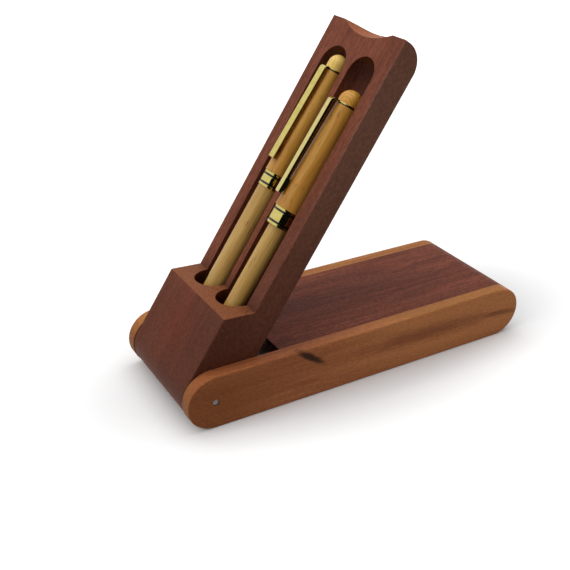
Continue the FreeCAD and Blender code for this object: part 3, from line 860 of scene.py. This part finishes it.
@dataclass
class Pens:
    """Both pens: lacquered wood, gold trim, dark stripes and the hidden writing ends."""

    band_rounding: Rounding = Rounding(width=0.15 * MM, segments=2)
    crisp_rounding: Rounding = Rounding(width=0.14 * MM, segments=3)
    soft_rounding: Rounding = Rounding(width=0.35 * MM, segments=3)

    def dress(self) -> None:
        """Paints the CAD nodes of both pens."""
        self.dress_woods()
        self.dress_metals()
        self.dress_darks()

    def dress_woods(self) -> None:
        """Gives the barrels, the cap and the domes their lacquered bamboo."""
        amber = PenWoodFinish("amber_bamboo", tone(202, 148, 63), tone(183, 124, 49), tone(136, 82, 34))
        pale = PenWoodFinish(
            "pale_bamboo", tone(202, 163, 91), tone(184, 141, 72), tone(140, 98, 50), shift=(0.2, 0.1, 0.3))
        dome = PenWoodFinish(
            "amber_dome", tone(226, 171, 76), tone(206, 145, 52), tone(160, 98, 36), shift=(0.4, 0.3, 0.6),
            ring_centre=(-0.0945, 0.0125, -0.0725), rings=0.35)
        pale_dome = PenWoodFinish(
            "pale_dome", tone(248, 210, 117), tone(236, 194, 97), tone(160, 116, 54), shift=(0.7, 0.2, 0.9),
            ring_centre=(-0.105, -0.013, -0.0735), rings=0.15)
        # Painted light: the ball pen's upper barrel is a lighter copy of the amber bamboo, making up for the
        # shade on it; shade_reach paints shade beside its clip.
        lit_amber = PenWoodFinish(
            "lit_amber_bamboo", tone(216, 164, 76), tone(198, 142, 60), tone(150, 94, 40), shift=(0.5, 0.6, 0.1),
            shade_reach=3.2 * MM)
        paint(["fountain_pen_cap"], amber.build())
        paint(["ball_pen_upper_barrel"], lit_amber.build())
        paint(["ball_pen_lower_barrel", "fountain_pen_barrel"], pale.build())
        paint(["ball_pen_finial"], pale_dome.build())
        paint(["fountain_pen_finial"], dome.build())

    def dress_metals(self) -> None:
        """Gives the trim its gold and the refill its steel."""
        gold = MetalFinish("gold_plate", tone(211, 197, 118), tone(199, 182, 102), roughness=(0.05, 0.11))
        paint(["ball_pen_tip", "ball_pen_twist_works", "fountain_pen_nib", "ball_pen_clip", "ball_pen_band",
               "fountain_pen_clip", "fountain_pen_band"], gold.build())
        steel = MetalFinish("refill_steel", tone(176, 176, 178), tone(150, 150, 152), roughness=(0.2, 0.35))
        paint(["ball_pen_refill"], steel.build())

    def dress_darks(self) -> None:
        """Gives the stripes their enamel and the writing end its plastics."""
        black = GlossFinish(
            "black_enamel", tone(14, 13, 13), tone(26, 24, 24), roughness=(0.12, 0.2), coat=0.1)
        stripes = [pen + "_" + part for pen in ("ball_pen", "fountain_pen")
                   for part in ("top_ring", "lower_stripe", "upper_stripe")]
        paint(stripes, black.build())
        moulded = GlossFinish(
            "black_plastic", tone(24, 24, 25), tone(44, 44, 45), roughness=(0.3, 0.5), coat=0.1)
        paint(["fountain_pen_section", "fountain_pen_feed"], moulded.build())
        clear = GlossFinish(
            "clear_plastic", tone(206, 212, 220), tone(220, 224, 230), roughness=(0.1, 0.2), coat=0.3)
        paint(["fountain_pen_converter"], clear.build())

    def build(self) -> None:
        """Rounds the edges of the gold trim, so that they catch the light."""
        rounded_copy("ball_pen_clip", "ball_pen_top", self.soft_rounding)
        rounded_copy("fountain_pen_clip", "fountain_pen", self.crisp_rounding)
        rounded_copy("ball_pen_band", "ball_pen", self.band_rounding)
        rounded_copy("fountain_pen_band", "fountain_pen", self.band_rounding)


def seen_rays(tree: bpy.types.NodeTree) -> Node:
    """Adds nodes that find the rays in which the white background shows.

    Args:
        tree: The node tree of the world or of a material.

    Returns:
        A node that is 1 for rays to the camera, in metal and through clear pieces, and otherwise 0.
    """
    path = tree.nodes.new("ShaderNodeLightPath")
    found = path.outputs["Is Camera Ray"]
    for kind in ("Is Glossy Ray", "Is Transmission Ray"):
        either = tree.nodes.new("ShaderNodeMath")
        either.operation = "MAXIMUM"
        tree.links.new(found, either.inputs[0])
        tree.links.new(path.outputs[kind], either.inputs[1])
        found = either.outputs[0]
    return either


def facing(place: Place, aim: Place) -> Euler:
    """Gives the turn with which a lamp or card at a place looks at a point.

    Args:
        place: Where it hangs.
        aim: The point.

    Returns:
        The turn about X, Y and Z, in radians.
    """
    return (Vector(aim) - Vector(place)).to_track_quat("-Z", "Y").to_euler()


@dataclass(frozen=True)
class Lamp:
    """A soft rectangular lamp: where it hangs, its width and height, and its power in watts."""

    name: str
    place: Place
    size: Span
    watts: float


@dataclass(frozen=True)
class Flag:
    """A black card: where it hangs, the point that it faces, and its width and height."""

    name: str
    place: Place
    aim: Place
    size: Span


@dataclass
class Studio:
    """Camera, lamps, dark flags and the white floor."""

    eye: Place = (-0.205619, -0.289414, 0.223581)
    right: Place = (0.857087, -0.514371, 0.028714)
    up: Place = (0.224062, 0.422378, 0.878290)
    back: Place = (-0.463895, -0.746337, 0.477266)
    lens: float = 56.1646
    sensor: float = 36.0
    clip: Span = (0.01, 20.0)
    middle: Place = (-0.02, 0.0, 0.06)
    lamps: tuple[Lamp, ...] = (
        Lamp("top_softbox", (0.0, 0.25, 1.1), (1.4, 1.0), 7.8),
        Lamp("left_softbox", (-0.85, 0.0, 0.75), (0.6, 0.6), 3.5),
        Lamp("front_fill", (0.3, -0.95, 0.4), (1.0, 0.6), 1.6),
    )
    flags: tuple[Flag, ...] = (
        Flag("front_flag", (0.0, -0.95, 0.6), (0.0, 0.0, 0.6), (3.0, 1.6)),
        Flag("low_flag", (0.2, -0.5, 0.002), (0.2, -0.5, 1.0), (2.2, 0.86)),
    )
    room_strength: float = 0.27
    white_strength: float = 1.0
    floor_size: float = 6.0
    floor_tone: Colour = (0.93, 0.93, 0.93)
    floor_bounce: Colour = (0.35, 0.35, 0.35)
    flag_tone: Colour = (0.01, 0.01, 0.01)
    matt: float = 0.9
    shade_reach: Place = (0.10, 0.045, 1.0)
    near_floor: Span = (0.8, 1.6)
    near_lift: float = 0.3
    far_floor: Span = (3.0, 18.0)
    far_lift: float = 0.7

    def set_camera(self) -> None:
        """Puts the camera where the photograph was taken from."""
        data = bpy.data.cameras.new("photo_camera")
        data.lens = self.lens
        data.sensor_width = self.sensor
        data.clip_start, data.clip_end = self.clip
        camera = bpy.data.objects.new("photo_camera", data)
        bpy.context.scene.collection.objects.link(camera)
        columns = Matrix((self.right, self.up, self.back)).transposed().to_4x4()
        camera.matrix_world = Matrix.Translation(self.eye) @ columns
        bpy.context.scene.camera = camera

    def hang_lamp(self, lamp: Lamp) -> None:
        """Hangs a lamp that looks at the object, and which polished pieces don't mirror.

        Args:
            lamp: The lamp.
        """
        data = bpy.data.lights.new(lamp.name, "AREA")
        data.shape = "RECTANGLE"
        data.size, data.size_y = lamp.size
        data.energy = lamp.watts
        hung = bpy.data.objects.new(lamp.name, data)
        hung.location = lamp.place
        hung.rotation_euler = facing(lamp.place, self.middle)
        hung.visible_glossy = False
        bpy.context.scene.collection.objects.link(hung)

    def light_room(self) -> None:
        """Sets the even surroundings: soft light on the object, and white where they are seen."""
        world = bpy.data.worlds.new("white_room")
        bpy.context.scene.world = world
        world.use_nodes = True
        nodes = world.node_tree.nodes
        links = world.node_tree.links
        nodes.clear()
        out = nodes.new("ShaderNodeOutputWorld")
        choose = nodes.new("ShaderNodeMixShader")
        links.new(seen_rays(world.node_tree).outputs[0], choose.inputs[0])
        for socket, strength in enumerate((self.room_strength, self.white_strength), start=1):
            shade = nodes.new("ShaderNodeBackground")
            shade.inputs["Color"].default_value = (*WHITE, 1.0)
            shade.inputs["Strength"].default_value = strength
            links.new(shade.outputs[0], choose.inputs[socket])
        links.new(choose.outputs[0], out.inputs[0])

    def floor_finish(self) -> bpy.types.Material:
        """Makes a white floor that keeps the shadow and fades into the background; its glow, seen only by the
        camera, is painted light that is left out near and under the case and grows further away.

        Returns:
            The floor's material.
        """
        shader = Shader("white_floor")
        shader.set(Base_Color=(*self.floor_tone, 1.0), Roughness=self.matt, Specular_IOR_Level=0.1)
        # Painted light: a glow for camera rays only, none near and under the case and more with distance.
        path = shader.add("ShaderNodeLightPath")
        glow = shader.add("ShaderNodeEmission")
        where = shader.add("ShaderNodeTexCoord")
        inside = shader.add("ShaderNodeVectorMath", operation="DIVIDE")
        inside.inputs[1].default_value = self.shade_reach
        distance = shader.add("ShaderNodeVectorMath", operation="LENGTH")
        shader.link(where, "Object", inside, 0)
        shader.link(inside, "Vector", distance, 0)
        near = shader.grey_ramp(distance, *self.near_floor, "Value")
        near.inputs["To Max"].default_value = self.near_lift
        far = shader.grey_ramp(distance, *self.far_floor, "Value")
        far.inputs["To Max"].default_value = self.far_lift
        lift = shader.add("ShaderNodeMath", operation="MULTIPLY")
        shader.link(path, "Is Camera Ray", lift, 0)
        shader.link(shader.math("ADD", near, far), 0, lift, 1)
        shader.link(lift, 0, glow, "Strength")
        both = shader.add("ShaderNodeAddShader")
        shader.link(shader.surface, "BSDF", both, 0)
        shader.link(glow, "Emission", both, 1)
        grey = shader.add("ShaderNodeBsdfDiffuse")
        grey.inputs["Color"].default_value = (*self.floor_bounce, 1.0)
        choose = shader.add("ShaderNodeMixShader")
        shader.link(seen_rays(shader.tree), 0, choose, 0)
        shader.link(grey, 0, choose, 1)
        shader.link(both, 0, choose, 2)
        shader.link(choose, 0, shader.out, "Surface")
        return shader.material

    def lay_floor(self) -> None:
        """Lays the white floor."""
        bpy.ops.object.select_all(action="DESELECT")
        bpy.ops.mesh.primitive_plane_add(size=self.floor_size, location=UNMOVED)
        floor = bpy.context.view_layer.objects.active
        floor.name = "floor"
        floor.data.materials.append(self.floor_finish())

    def hang_flag(self, flag: Flag) -> None:
        """Hangs a black card that only shows in polished metal.

        Args:
            flag: The card.
        """
        bpy.ops.object.select_all(action="DESELECT")
        bpy.ops.mesh.primitive_plane_add(size=1.0, location=flag.place)
        card = bpy.context.view_layer.objects.active
        card.name = flag.name
        card.scale = (*flag.size, 1.0)
        card.rotation_euler = facing(flag.place, flag.aim)
        card.visible_camera = False
        card.visible_diffuse = False
        card.visible_shadow = False
        shader = Shader(flag.name)
        shader.set(Base_Color=(*self.flag_tone, 1.0), Roughness=self.matt, Specular_IOR_Level=0.0)
        card.data.materials.append(shader.material)

    def build(self) -> None:
        """Sets the whole studio up."""
        bpy.context.scene.view_settings.view_transform = "Standard"
        self.set_camera()
        for lamp in self.lamps:
            self.hang_lamp(lamp)
        self.light_room()
        self.lay_floor()
        for flag in self.flags:
            self.hang_flag(flag)


def main() -> None:
    """Loads the solids, dresses every part of the case and sets up the studio."""
    logging.basicConfig(level=logging.INFO, format="%(name)s: %(message)s")
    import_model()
    Shell().dress()
    Tray().dress()
    pens = Pens()
    pens.dress()
    pens.build()
    Studio().build()


if __name__ == "__main__":
    main()
